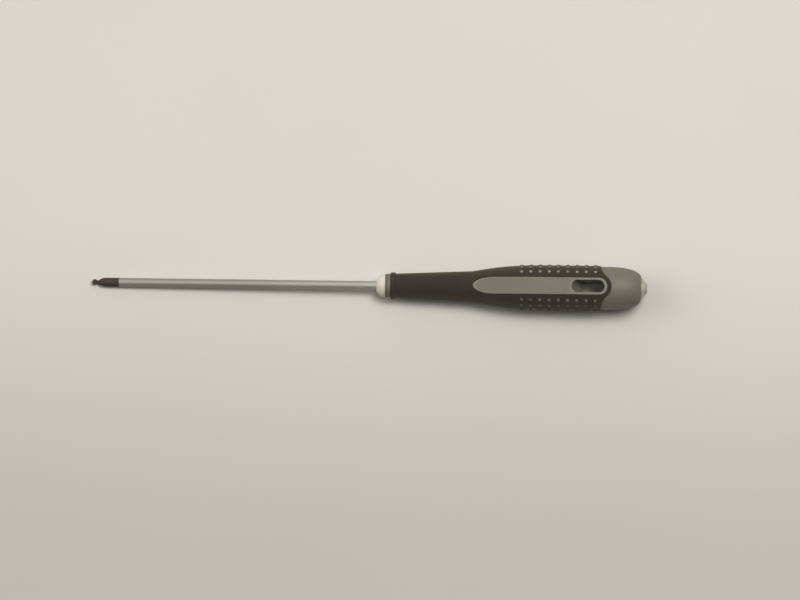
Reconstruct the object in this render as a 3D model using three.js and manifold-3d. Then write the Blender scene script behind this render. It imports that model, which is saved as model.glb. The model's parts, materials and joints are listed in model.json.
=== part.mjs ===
// Ball-end hex screwdriver: a steel blade set in a handle that is moulded in three shots.
// Millimetres. The tool is drawn along +X from its tip (x = 0) to the end of the handle, with its two
// windows facing +Z and -Z, and is then laid on a flat surface, +Z up, as it rests on a bench.
import * as THREE from "three";
import { mergeVertices } from "three/addons/utils/BufferGeometryUtils.js";
import Module from "manifold-3d";

const wasm = await Module();
wasm.setup();

// Driving dimensions of the blade
const hexAcrossFlats = 2.0;
const tipFlatDiameter = 0.8;
const neckDiameter = 1.44;
const neckLength = 0.6;
const shoulderLength = 2.3;
const barDiameter = 3.5;
const exposedLength = 113.95;
const coreAheadOfSlot = 11;
const tangChamfer = 0.6;
const wingSpan = 6.4;
const wingThickness = 1.8;
const wingLength = 10;
const wingSlope = 2;
const wingFromTangEnd = 8;

// Driving lengths of the handle, in order along the axis
const noseLength = 3.65;
const flangeLength = 2.05;
const fingerLength = 32.85;
const flareLength = 30;
const barrelLength = 25.5;
const domeLength = 11.5;
const capHeight = 2.5;

// Driving radii of the handle
const noseLip = 0.4;
const noseRadius = 4.4;
const flangeRadius = 4.85;
const grooveDepth = 0.35;
const grooveWidth = 0.8;
const frontRadius = 4.75;
const fingerRadius = 6.2;
const barrelRadius = 8.9;
const domeRadius = 8.5;
const endRadius = 4.75;
const flareSlope = 0.19;

// The white end: a short lip, a cone and a small flat with a rounded edge
const capLip = 0.25;
const capFlatRadius = 1.6;
const capRound = 0.3;

// Walls of the three shots, and the gap that stands for the bond between them
const rubberAtFront = 0.8;
const rubberAtBarrel = 1.5;
const shellAtFront = 0.9;
const shellAtBarrel = 2.0;
const bondGap = 0.1;

// The rolled bead at the front of the rubber
const beadHeight = 0.65;
const beadBackHeight = 0.5;
const beadLength = 2.1;
const beadRound = 0.2;

// The window through which the hard shell shows, the same above and below
const windowHalfWidth = 3.5;
const windowNoseLength = 8.8;
const landDrop = 0.15;

// The hanging slot that runs right through the handle inside the windows
const slotLength = 13.0;
const slotWidth = 4.8;
const slotToWindowEnd = 1.4;
const rampRun = 4.0;
const throatHeight = 1.0;
const linerWall = 1.2;

// The rear edge of the rubber, which swells around the end of the window
const rubberBehindWindow = 1.3;
const rubberToDome = 0.3;
const rubberSideSetback = 3.0;
const swellRadius = 5.2;
const rearFillet = 7.0;

// The grid of raised pips on each side of the barrel
const pipColumns = 9;
const pipRows = 6;
const pipPitch = 3.675;
const pipRowAngle = THREE.MathUtils.degToRad(20.3);
const pipToRubberEnd = 2.0;
const pipBaseRadius = 0.8;
const pipTopRadius = 0.5;
const pipHeight = 0.3;
const pipRoot = 0.25;

// Fineness of the facets
const handleSides = 32;
const bladeSides = 20;
const hexSides = 6;
const pipSides = 6;
const curveSteps = 6;
const clearOfSkin = 4;

// Stations along the axis, worked out from the lengths
const noseX = exposedLength;
const flangeX = noseX + noseLength;
const rubberX = flangeX + flangeLength;
const fingerEndX = rubberX + fingerLength;
const barrelX = fingerEndX + flareLength;
const domeX = barrelX + barrelLength;
const endX = domeX + domeLength;
const capX = endX + capHeight;

// The window runs from the start of the flare almost to the dome, and the tang ends short of the slot
const windowX = fingerEndX;
const windowEndX = domeX - rubberToDome - rubberBehindWindow;
const windowArcX = windowEndX - windowHalfWidth;
const slotEndX = windowEndX - slotToWindowEnd;
const slotX = slotEndX - slotLength;
const tangX = slotX - linerWall - coreAheadOfSlot;
const rubberSideX = windowEndX - rubberSideSetback;
const swellX = windowEndX + rubberBehindWindow - swellRadius;
const noseFaceRadius = barDiameter / 2 + noseLip;
const outsideRadius = barrelRadius + clearOfSkin;

// A closed three.js geometry as a solid: only its positions count, and slivers at poles are dropped.
function solidOf(geometry) {
  const bare = new THREE.BufferGeometry();
  bare.setAttribute("position", geometry.getAttribute("position"));
  bare.setIndex(geometry.getIndex());
  const merged = mergeVertices(bare, 1e-4);
  const index = merged.getIndex().array;
  const kept = [];
  for (let i = 0; i < index.length; i += 3) {
    const [a, b, c] = [index[i], index[i + 1], index[i + 2]];
    if (a !== b && b !== c && c !== a) kept.push(a, b, c);
  }
  const vertProperties = new Float32Array(merged.getAttribute("position").array);
  const mesh = new wasm.Mesh({ numProp: 3, vertProperties, triVerts: new Uint32Array(kept) });
  return new wasm.Manifold(mesh);
}

// A path of (x, radius) points turned about the X axis. It starts and ends on the axis.
function revolve(path, sides) {
  const points = path.getPoints(curveSteps).map((p) => new THREE.Vector2(Math.max(p.y, 0), p.x));
  const halfSide = Math.PI / sides;
  const geometry = new THREE.LatheGeometry(points, sides, halfSide);
  return solidOf(geometry.rotateZ(-Math.PI / 2));
}

// A cylinder about the X axis between two stations.
function cylinder(startX, finishX, radius) {
  const side = new THREE.Path().moveTo(startX, 0);
  side.lineTo(startX, radius);
  side.lineTo(finishX, radius);
  side.lineTo(finishX, 0);
  return revolve(side, handleSides);
}

// A plan outline in X and Y carried straight through the handle along Z.
function throughPrism(outline, height) {
  const options = { depth: height, bevelEnabled: false, curveSegments: curveSteps };
  const geometry = new THREE.ExtrudeGeometry(outline, options);
  return solidOf(geometry.translate(0, 0, -height / 2));
}

// A side outline in X and Z carried across the handle along Y.
function crossPrism(outline, width) {
  const options = { depth: width, bevelEnabled: false, curveSegments: curveSteps };
  const geometry = new THREE.ExtrudeGeometry(outline, options);
  return solidOf(geometry.translate(0, 0, -width / 2).rotateX(Math.PI / 2));
}

// The outside of the handle from the front of the rubber back to the start of the dome, with the
// radius reduced by one inset at the front and another at the barrel.
function skinTo(path, insetFront, insetBarrel) {
  const barrel = barrelRadius - insetBarrel;
  const finger = fingerRadius - (insetFront + insetBarrel) / 2;
  const reach = flareLength * 0.38;
  path.lineTo(rubberX, frontRadius - insetFront);
  path.lineTo(fingerEndX, finger);
  path.bezierCurveTo(
    fingerEndX + reach, finger + reach * flareSlope,
    barrelX - reach, barrel,
    barrelX, barrel,
  );
  return path;
}

// The grey dome, a step lower than the barrel, round to the hole that the core's end shows through.
function domeTo(path) {
  path.lineTo(domeX, barrelRadius);
  path.lineTo(domeX, domeRadius);
  path.bezierCurveTo(
    domeX + domeLength * 0.55, domeRadius,
    endX - domeLength * 0.02, endRadius + (domeRadius - endRadius) * 0.55,
    endX, endRadius,
  );
  return path;
}

// Radius of the handle's skin at a station, read from the same path that is turned.
const skinPoints = skinTo(new THREE.Path().moveTo(rubberX, 0), 0, 0).lineTo(domeX, barrelRadius);
const skinStations = skinPoints.getPoints(curveSteps).slice(1);
function skinRadius(x) {
  const last = skinStations.findIndex((p) => p.x >= x);
  if (last < 0) return barrelRadius;
  const [a, b] = [skinStations[Math.max(last - 1, 0)], skinStations[last]];
  return b.x === a.x ? b.y : THREE.MathUtils.mapLinear(x, a.x, b.x, a.y, b.y);
}

// Plan outline of the window, grown or shrunk by an offset: a long half ellipse in front, straight sides
// and a round end.
function windowOutline(offset) {
  const half = windowHalfWidth + offset;
  const noseEnd = windowX + windowNoseLength;
  const outline = new THREE.Shape();
  outline.absellipse(noseEnd, 0, windowNoseLength + offset, half, Math.PI / 2, Math.PI * 1.5);
  outline.absarc(windowArcX, 0, half, -Math.PI / 2, Math.PI / 2);
  return outline;
}

// Plan outline of a slot with round ends between two stations.
function slotOutline(startX, finishX, width) {
  const radius = width / 2;
  const outline = new THREE.Shape();
  outline.absarc(startX + radius, 0, radius, Math.PI / 2, Math.PI * 1.5);
  outline.absarc(finishX - radius, 0, radius, -Math.PI / 2, Math.PI / 2);
  return outline;
}

// Plan outline of the rubber: straight across in front and at the sides, swelling round the window's end.
function rubberOutline(offset) {
  const sideX = rubberSideX + offset;
  const swell = swellRadius + offset;
  const fillet = rearFillet - offset;
  const filletX = sideX + fillet;
  const filletY = Math.sqrt((swell + fillet) ** 2 - (filletX - swellX) ** 2);
  const turn = Math.atan2(filletY, filletX - swellX);
  const outline = new THREE.Shape();
  outline.moveTo(rubberX - offset, -outsideRadius);
  outline.lineTo(sideX, -outsideRadius);
  outline.absarc(filletX, -filletY, fillet, Math.PI, Math.PI - turn, true);
  outline.absarc(swellX, 0, swell, -turn, turn);
  outline.absarc(filletX, filletY, fillet, Math.PI + turn, Math.PI, true);
  outline.lineTo(sideX, outsideRadius);
  outline.lineTo(rubberX - offset, outsideRadius);
  return outline;
}

// Height of the window's flat land: level with the edge of the rubber around it, less a small drop.
function landHeight(x) {
  const fromNose = Math.max(windowX + windowNoseLength - x, 0) / windowNoseLength;
  const halfWidth = windowHalfWidth * Math.sqrt(Math.max(1 - fromNose ** 2, 0));
  return Math.sqrt(skinRadius(x) ** 2 - halfWidth ** 2) - landDrop;
}

// What is cut away above the land: flat across the handle, following the skin along it.
function landCut() {
  const steps = 3 * curveSteps;
  const outline = new THREE.Shape();
  outline.moveTo(windowX - windowHalfWidth, outsideRadius);
  outline.lineTo(windowX - windowHalfWidth, landHeight(windowX));
  for (let i = 0; i <= steps; i++) {
    const x = THREE.MathUtils.lerp(windowX, barrelX, i / steps);
    outline.lineTo(x, landHeight(x));
  }
  outline.lineTo(windowEndX, landHeight(windowEndX));
  outline.lineTo(windowEndX, outsideRadius);
  const upper = crossPrism(outline, 2 * windowHalfWidth);
  const lower = upper.rotate([180, 0, 0]);
  return upper.add(lower);
}

// The hanging slot: round ended in plan, with a steep ramp from each window down to a short throat.
function slotCut() {
  const land = landHeight(slotX);
  const rampX = slotX + rampRun;
  const foot = throatHeight / 2;
  const bendX = slotX + rampRun * 0.3;
  const bend = THREE.MathUtils.lerp(land, foot, 0.4);
  const outline = new THREE.Shape();
  outline.moveTo(slotX, outsideRadius);
  outline.lineTo(slotX, land);
  outline.quadraticCurveTo(bendX, bend, rampX, foot);
  outline.lineTo(rampX, -foot);
  outline.quadraticCurveTo(bendX, -bend, slotX, -land);
  outline.lineTo(slotX, -outsideRadius);
  outline.lineTo(slotEndX, -outsideRadius);
  outline.lineTo(slotEndX, outsideRadius);
  const plan = throughPrism(slotOutline(slotX, slotEndX, slotWidth), 2 * outsideRadius);
  return plan.intersect(crossPrism(outline, 2 * slotWidth));
}

// The wall of hard shell that lines the slot, grown by an offset.
function linerBlank(offset) {
  const grown = linerWall + offset;
  const outline = slotOutline(slotX - grown, slotEndX + grown, slotWidth + 2 * grown);
  return throughPrism(outline, 2 * outsideRadius);
}

// The bar of the blade with its tang, grown by an offset where it lies in the core.
function barAndTang(startX, offset) {
  const radius = barDiameter / 2 + offset;
  const finishX = tangX + offset;
  const bar = new THREE.Path().moveTo(startX, 0);
  bar.lineTo(startX, radius);
  bar.lineTo(finishX - tangChamfer, radius);
  bar.lineTo(finishX, radius - tangChamfer);
  bar.lineTo(finishX, 0);
  const wingEndX = tangX - wingFromTangEnd + offset;
  const wingX = wingEndX - wingLength - 2 * offset;
  const halfSpan = wingSpan / 2 + offset;
  const wing = new THREE.Shape();
  wing.moveTo(wingX, 0);
  wing.lineTo(wingX + wingSlope, halfSpan);
  wing.lineTo(wingEndX - wingSlope, halfSpan);
  wing.lineTo(wingEndX, 0);
  wing.lineTo(wingEndX - wingSlope, -halfSpan);
  wing.lineTo(wingX + wingSlope, -halfSpan);
  return revolve(bar, bladeSides).add(throughPrism(wing, wingThickness + 2 * offset));
}

// The blade: a six-sided ball, a turned neck and shoulder, and the bar with its winged tang.
function bladeSolid() {
  const ballRadius = hexAcrossFlats / Math.sqrt(3);
  const tipFlat = tipFlatDiameter / 2;
  const neck = neckDiameter / 2;
  const ballX = Math.sqrt(ballRadius ** 2 - tipFlat ** 2);
  const neckX = ballX + Math.sqrt(ballRadius ** 2 - neck ** 2);
  const backAngle = Math.atan2(neck, neckX - ballX);
  const frontAngle = Math.atan2(tipFlat, -ballX);
  const ball = new THREE.Path().moveTo(0, 0);
  ball.lineTo(0, tipFlat);
  ball.absarc(ballX, 0, ballRadius, frontAngle, backAngle, true);
  ball.lineTo(neckX, 0);
  const shoulderX = neckX + neckLength;
  const barX = shoulderX + shoulderLength;
  const turned = new THREE.Path().moveTo(ballX, 0);
  turned.lineTo(ballX, neck);
  turned.lineTo(shoulderX, neck);
  const swell = THREE.MathUtils.lerp(neck, barDiameter / 2, 0.8);
  turned.quadraticCurveTo(shoulderX + shoulderLength / 2, swell, barX, barDiameter / 2);
  turned.lineTo(barX, 0);
  const head = revolve(ball, hexSides).add(revolve(turned, bladeSides));
  return { solid: head.add(barAndTang(barX, 0)), barX };
}

// The outside of the core: the nose, the body inside the shell, and the end that shows through the dome.
// The offset grows everything behind the nose, to cut the room for it out of the shell.
function coreBlank(offset) {
  const front = frontRadius - rubberAtFront - shellAtFront - bondGap + offset;
  const barrel = barrelRadius - rubberAtBarrel - shellAtBarrel - bondGap + offset;
  const finger = (2 * front + barrel) / 3;
  const end = endRadius - bondGap + offset;
  const core = new THREE.Path().moveTo(noseX, 0);
  core.lineTo(noseX, noseFaceRadius);
  core.bezierCurveTo(
    noseX + noseLength * 0.08, THREE.MathUtils.lerp(noseFaceRadius, noseRadius, 0.3),
    noseX + noseLength * 0.36, THREE.MathUtils.lerp(noseFaceRadius, noseRadius, 0.95),
    noseX + noseLength * 0.85, noseRadius,
  );
  core.lineTo(flangeX - bondGap, noseRadius);
  core.lineTo(flangeX - bondGap, front);
  core.lineTo(rubberX, front);
  core.lineTo(fingerEndX, finger);
  core.lineTo(barrelX, barrel);
  core.lineTo(domeX, barrel);
  core.lineTo(endX - domeLength / 4, end);
  core.lineTo(endX + capLip, end);
  const roundRadius = THREE.MathUtils.lerp(capFlatRadius, end, capRound / (capHeight - capLip));
  core.lineTo(capX - capRound, roundRadius);
  core.quadraticCurveTo(capX, capFlatRadius, capX, capFlatRadius - capRound);
  core.lineTo(capX, 0);
  return revolve(core, handleSides);
}

// The white core: moulded round the tang, with room for the shell's slot wall to pass through it.
function coreSolid() {
  const blade = barAndTang(noseX - clearOfSkin, bondGap);
  return coreBlank(0).subtract(linerBlank(bondGap)).subtract(blade);
}

// What lies under the rubber, less a gap: it runs on past both ends of the rubber.
function rubberFloor(gap) {
  const floor = new THREE.Path().moveTo(rubberX - clearOfSkin, 0);
  floor.lineTo(rubberX - clearOfSkin, frontRadius - rubberAtFront - gap);
  skinTo(floor, rubberAtFront + gap, rubberAtBarrel + gap);
  floor.lineTo(endX, barrelRadius - rubberAtBarrel - gap);
  floor.lineTo(endX, 0);
  return revolve(floor, handleSides);
}

// Room in the shell for the rubber: everything outside the rubber's floor, bar the windows' lands.
function rubberPocket() {
  const around = throughPrism(rubberOutline(0), 2 * outsideRadius);
  const land = throughPrism(windowOutline(-bondGap), 2 * outsideRadius);
  return around.subtract(rubberFloor(bondGap)).subtract(land);
}

// What is taken off behind the rubber's rear edge, down to the dome.
function domeTrim() {
  const startX = rubberSideX - clearOfSkin;
  return cylinder(startX, domeX, outsideRadius)
    .subtract(cylinder(startX - clearOfSkin, domeX + clearOfSkin, domeRadius))
    .subtract(throughPrism(rubberOutline(0), 2 * outsideRadius));
}

// The grey shell: a grooved flange in front, the two window lands, the lined slot and the dome.
function shellSolid() {
  const grooveX = flangeX + flangeLength / 3;
  const blank = new THREE.Path().moveTo(flangeX, 0);
  blank.lineTo(flangeX, flangeRadius);
  blank.lineTo(grooveX - grooveWidth / 2, flangeRadius);
  blank.lineTo(grooveX, flangeRadius - grooveDepth);
  blank.lineTo(grooveX + grooveWidth / 2, flangeRadius);
  blank.lineTo(rubberX, flangeRadius);
  domeTo(skinTo(blank, 0, 0)).lineTo(endX, 0);
  const room = coreBlank(bondGap).subtract(linerBlank(0));
  return revolve(blank, handleSides)
    .subtract(rubberPocket())
    .subtract(domeTrim())
    .subtract(landCut())
    .subtract(room)
    .subtract(slotCut());
}

// One pip: a low cone with a flat top, standing on the skin at a station and an angle from the window.
function pipSolid(x, angle) {
  const pip = new THREE.CylinderGeometry(pipTopRadius, pipBaseRadius, pipHeight + pipRoot, pipSides);
  pip.translate(0, (pipHeight - pipRoot) / 2 + skinRadius(x), 0);
  pip.rotateX(Math.PI / 2 - angle);
  return solidOf(pip.translate(x, 0, 0));
}

// The black rubber grip: a sleeve over the shell with two windows, a front bead and the pips.
function gripSolid() {
  const frontX = rubberX + bondGap;
  const outside = new THREE.Path().moveTo(frontX, 0);
  outside.lineTo(frontX, frontRadius + beadHeight - beadRound);
  outside.lineTo(frontX + beadRound, frontRadius + beadHeight);
  outside.lineTo(frontX + beadLength * 0.8, frontRadius + beadBackHeight);
  outside.lineTo(frontX + beadLength, skinRadius(frontX + beadLength));
  skinStations.filter((p) => p.x > frontX + beadLength).forEach((p) => outside.lineTo(p.x, p.y));
  outside.lineTo(domeX + clearOfSkin, barrelRadius);
  outside.lineTo(domeX + clearOfSkin, 0);
  let grip = revolve(outside, handleSides)
    .subtract(rubberFloor(0))
    .intersect(throughPrism(rubberOutline(-bondGap), 2 * outsideRadius))
    .subtract(throughPrism(windowOutline(0), 2 * outsideRadius));
  const lastColumnX = rubberSideX - pipToRubberEnd;
  for (const side of [-1, 1]) {
    for (let row = 0; row < pipRows; row++) {
      const angle = side * (Math.PI / 2 + (row - (pipRows - 1) / 2) * pipRowAngle);
      for (let column = 0; column < pipColumns; column++) {
        grip = grip.add(pipSolid(lastColumnX - column * pipPitch, angle));
      }
    }
  }
  return grip;
}

// A finished solid as a named mesh with its own material.
function meshOf(name, solid, finish) {
  const made = solid.getMesh();
  const geometry = new THREE.BufferGeometry();
  geometry.setAttribute("position", new THREE.BufferAttribute(new Float32Array(made.vertProperties), 3));
  geometry.setIndex(new THREE.BufferAttribute(new Uint32Array(made.triVerts), 1));
  geometry.computeVertexNormals();
  const mesh = new THREE.Mesh(geometry, new THREE.MeshStandardMaterial(finish));
  mesh.name = name;
  return mesh;
}

const { solid: bladeBody, barX } = bladeSolid();
const tool = new THREE.Group();
tool.add(
  meshOf("blade", bladeBody, { color: 0xa7a29a, roughness: 0.32, metalness: 1 }),
  meshOf("handle_core", coreSolid(), { color: 0xdcd5c6, roughness: 0.45, metalness: 0 }),
  meshOf("handle_shell", shellSolid(), { color: 0x85816f, roughness: 0.5, metalness: 0 }),
  meshOf("rubber_grip", gripSolid(), { color: 0x3d3630, roughness: 0.75, metalness: 0 }),
);

// The tool lies on the edges of its lower window and on the shoulder of the blade: the steepest line
// from the underside of the shoulder to the underside of the handle is the bench.
function restSlope(mesh) {
  const position = mesh.geometry.getAttribute("position");
  const barUnderside = (barDiameter / 2) * Math.cos(Math.PI / bladeSides);
  let steepest = 0;
  for (let i = 0; i < position.count; i++) {
    if (position.getX(i) < noseX) continue;
    steepest = Math.max(steepest, (-position.getZ(i) - barUnderside) / (position.getX(i) - barX));
  }
  return steepest;
}
tool.rotation.y = -Math.atan(Math.max(...tool.children.map(restSlope)));
const extent = new THREE.Box3().setFromObject(tool, true);
tool.position.set(-(extent.min.x + extent.max.x) / 2, 0, -extent.min.z);

const screwdriver = new THREE.Group();
screwdriver.add(tool);
export default screwdriver;
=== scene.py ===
"""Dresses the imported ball-end hex screwdriver: fine surfaces, finishes and a plain stage.

Every shape is worked out in tool space: x runs from the tip along the blade, y to the side and z out
through the upper window. to_row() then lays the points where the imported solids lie.
"""

import json
from types import SimpleNamespace

import bmesh
import bpy
import numpy as np
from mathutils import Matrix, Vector


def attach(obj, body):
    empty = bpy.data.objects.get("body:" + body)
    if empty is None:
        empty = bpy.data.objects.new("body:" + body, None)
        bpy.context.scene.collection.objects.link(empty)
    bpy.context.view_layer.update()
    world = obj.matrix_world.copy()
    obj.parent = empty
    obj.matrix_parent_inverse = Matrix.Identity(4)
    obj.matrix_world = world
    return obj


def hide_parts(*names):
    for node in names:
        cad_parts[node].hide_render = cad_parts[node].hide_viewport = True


bl_info = {
    "name": "Hex screwdriver",
    "version": (1, 0, 0),
    "blender": (4, 5, 0),
    "location": "3D View > Sidebar > Screwdriver",
    "description": "Surfaces, finishes and stage of a ball-end hex screwdriver",
    "category": "Add Mesh",
}

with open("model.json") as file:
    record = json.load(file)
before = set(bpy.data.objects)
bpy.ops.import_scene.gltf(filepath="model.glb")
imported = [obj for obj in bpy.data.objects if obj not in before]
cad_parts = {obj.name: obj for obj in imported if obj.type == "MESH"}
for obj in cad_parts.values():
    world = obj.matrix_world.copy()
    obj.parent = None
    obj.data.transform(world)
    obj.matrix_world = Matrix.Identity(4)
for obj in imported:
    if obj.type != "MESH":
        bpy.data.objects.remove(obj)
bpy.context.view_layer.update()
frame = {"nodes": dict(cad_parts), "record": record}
BODY = "root"
MM = 0.001

# Vertices closer than this are one
WELD = 1e-6

# Tool space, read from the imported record: the tip's axis and the two windows give its directions.
MOUNTS = {mount["name"]: mount for mount in frame["record"]["mounts"]}
FORWARD = -np.array(MOUNTS["drive_tip"]["axis"], float)
UP = np.array(MOUNTS["upper_window"]["axis"], float)
SIDE = np.cross(UP, FORWARD)
AXES = np.stack([FORWARD, SIDE, UP])
WINDOWS = np.array([MOUNTS[name]["pos_m"] for name in ("upper_window", "lower_window")], float)
MIDDLE = WINDOWS.mean(axis=0) * (1, 0, 1)
TIP = MIDDLE + FORWARD * ((np.array(MOUNTS["drive_tip"]["pos_m"], float) - MIDDLE) @ FORWARD)

# Fineness of the grids: round the tool, on curves and on rounded edges
AROUND_BLADE = 96
AROUND_HANDLE = 128
ARC_STEPS = 24
SIDE_LINES = 19
CURVE_STEPS = 32
FLARE_STEPS = 128
ROUND_STEPS = 5
GROOVE_STEPS = 12

# Rings of the bar and tang, the bore round them, the core's body, and the shell: its floor under the
# rubber, the step up behind that, the straight part of the dome and the bore
TANG_RINGS = 160
BORE_RINGS = 120
BODY_RINGS = 40
FLOOR_RINGS = 40
STEP_RINGS = 4
LEVEL_RINGS = 6

# Rows up the slot's wall, closer together at its top, across a land and back inside the shell
WALL_ROWS = 17
WALL_CROWDING = 1.5
LAND_ROWS = 30
BACK_ROWS = 13

# Lines of the rubber's grid: along the finger, the flare and the bead, towards the pips, across each pip and
# between two of them; and its rays behind the window, to the side and, from a corner on, to the rear edge
FINGER_LINES = 15
FLARE_LINES = 7
BEAD_BACK = 0.8
BEAD_LINES = (0, 0.004, 0.014, 0.03, 0.06, 0.1, 0.3, 0.55, BEAD_BACK, 0.84, 0.88, 0.92, 0.96, 1)
EDGE_LINES = 7
PIP_LINES = (-1, -0.8, -0.56, 0, 0.56, 0.8, 1)
GAP_LINES = 2
SIDE_RAYS = 3
REAR_RAYS = 32
CORNER_RAY = 87

# Least sine or cosine by which the wings' half sizes are divided
LEAST_SINE = 1e-6

# Points of the curves as shares of the box that each one fills: along the tool, then outwards; for the ramp,
# along the tool, then down
NOSE_CURVE = ((0, 0), (0.08, 0.3), (0.36, 0.95), (0.85, 1))
DOME_CURVE = ((0, 1), (0.55, 1), (0.98, 0.55), (1, 0))
SHOULDER_CURVE = ((0, 0), (0.5, 0.8), (1, 1))
RAMP_CURVE = ((0, 0), (0.3, 0.4), (1, 1))
FLARE_PULL = 0.38

# Hidden shapes: where the core starts to be as thin as the white end, as a share of the dome, how many bonds
# the back of a land lies over the core, and half the height of the room that is cut for the slot
CORE_TAPER = 0.75
LAND_BACK = 6
ROOM_HEIGHT = 20 * MM

# How far the painted highlight reaches from the slot's rim and the window's outline, and its strength on the
# -Y and +Y sides: more on the +Y side, which faces the light
RIM_HIGHLIGHT = 1.3 * MM
OUTLINE_HIGHLIGHT = 0.5 * MM
LAND_SIDES = (0.2, 1.0)

# Painted light on the slot's upright walls: how near to them it is found, and its strength
WALL_SLACK = 0.05 * MM
WALL_LIGHT = 1.0

# Painted highlight on the pips: how far up a pip it starts; the distances from the middle plane, and from the
# level through the axis, between which it grows, and its strength at each. The highlight is stronger on the
# +Y side, which faces the light
HIGHLIGHT_TOP = 0.35
HIGHLIGHT_SIDES = (-4 * MM, 4 * MM)
PIP_SIDES = (0.5, 1.0)
HIGHLIGHT_ROWS = (3.5 * MM, 6.8 * MM)
PIP_ROWS = (0.4, 1.0)

# How far the darker tone reaches from the edge of the dome's hole
JOINT_DARK_REACH = 0.6 * MM

# Grain: scale and share of its coarser noise. Marks in patches: the noise between which a mark sets in
COARSE_SCALE = 0.22
COARSE_SHARE = 0.35
MARK_PATCHES = (0.2, 0.6)

# Steel: how far the edge of its black tip wanders and where it fades, where the bar's colour brightens as a
# painted highlight towards the handle, the metallic share and the roughness of the tip and of the bare steel,
# and how its turning marks are stretched
EDGE_WANDER = 0.5 * MM
EDGE_FADE = (0.1 * MM, 0.5 * MM)
HIGHLIGHT_FADE = (60 * MM, 115 * MM)
STEEL_METAL = (0.25, 1.0)
STEEL_ROUGH = (0.7, 0.69)
TURNING = (1.0, 0.06, 0.06)

# Stage: between which places on y the floor goes from its painted shade on the -Y side to its plain tone, and
# between which directions on y and on z the sky changes its tone
FLOOR_FADE = (-0.11, 0.035)
SKY_FADE = (-0.5, 0.2)
HORIZON_FADE = (0.02, 0.2)

# Shader sockets: their kinds, told by the default of each, and those of a Mix node that mixes colours
NUMBER = "NodeSocketFloat"
COLOUR = "NodeSocketColor"
SOCKET_KINDS = {type(None): "NodeSocketVector", float: NUMBER, tuple: COLOUR}
MIX_INPUTS = (0, 6, 7)
MIX_RESULT = 2
MID_GREY = (0.5, 0.5, 0.5, 1.0)


def to_row(points):
    """Points of tool space in the row frame: each coordinate times its axis, added up from the tip."""
    return np.asarray(points) @ AXES + TIP


def in_tool_space(mesh):
    """Tool-space x, y and z of every vertex of a mesh."""
    places = np.empty(len(mesh.vertices) * 3, np.float32)
    mesh.vertices.foreach_get("co", places)
    return AXES @ (places.reshape(-1, 3) - TIP).T


def along_axis(mesh):
    """Distance of every vertex of a mesh from the tip, measured along the tool's axis."""
    return in_tool_space(mesh)[0]


def reach(name):
    """First and last station of a CAD node along the tool's axis, in metres."""
    stations = along_axis(frame["nodes"][name].data)
    return float(stations.min()), float(stations.max())


BLADE_REACH = reach("blade")
CORE_REACH = reach("handle_core")
SHELL_REACH = reach("handle_shell")
GRIP_REACH = reach("rubber_grip")


def metres(name, value, description):
    """A length in metres."""
    return bpy.props.FloatProperty(
        name=name, description=description, default=value, min=0.0, precision=5, unit="LENGTH"
    )


def length(name, millimetres, description):
    """A length whose default is written in millimetres."""
    return metres(name, millimetres * MM, description)


def angle(name, degrees, description):
    """An angle whose default is written in degrees."""
    return bpy.props.FloatProperty(
        name=name, description=description, default=float(np.radians(degrees)), subtype="ANGLE"
    )


def power(name, watts, description):
    """The power of a lamp."""
    return bpy.props.FloatProperty(name=name, description=description, default=watts, min=0.0, unit="POWER")


def point(name, place, description):
    """A place on the stage, in metres."""
    return bpy.props.FloatVectorProperty(
        name=name, description=description, default=place, size=3, subtype="TRANSLATION"
    )


def colour(name, red_green_blue, description):
    """A colour in linear values."""
    return bpy.props.FloatVectorProperty(
        name=name, description=description, default=red_green_blue, size=3, min=0.0, max=1.0, subtype="COLOR"
    )


def share(name, value, description):
    """A plain number from 0 to 1."""
    return bpy.props.FloatProperty(
        name=name, description=description, default=value, min=0.0, max=1.0, subtype="FACTOR"
    )


def settings(name, group, description):
    """A group of settings inside another one."""
    return bpy.props.PointerProperty(name=name, description=description, type=group)


class BladeSizes(bpy.types.PropertyGroup):
    """Sizes of the steel blade"""

    across_flats: length("Across flats", 2.0, "Hex ball from flat to flat")
    tip_flat: length("Tip flat", 0.8, "Diameter of the flat at the very end of the ball")
    neck: length("Neck", 1.44, "Diameter of the neck behind the ball")
    neck_length: length("Neck length", 0.6, "Straight part of the neck")
    shoulder_length: length("Shoulder", 2.3, "Curved shoulder from the neck to the bar")
    bar: length("Bar", 3.5, "Diameter of the round bar")
    tang_end: metres("Tang end", BLADE_REACH[1], "Where the bar ends inside the handle")
    chamfer: length("Chamfer", 0.6, "Chamfer at the end of the tang")
    wing_span: length("Wing span", 6.4, "Span of the forged wings that lock the tang")
    wing_thickness: length("Wing thickness", 1.8, "Thickness of the wings")
    wing_length: length("Wing length", 10.0, "Length of the wings along the bar")
    wing_slope: length("Wing slope", 2.0, "Length of each sloping end of a wing")
    wing_setback: length("Wing setback", 8.0, "From the wings to the end of the tang")
    black_length: length("Black tip", 10.8, "Length of the blackened tip")


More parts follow.
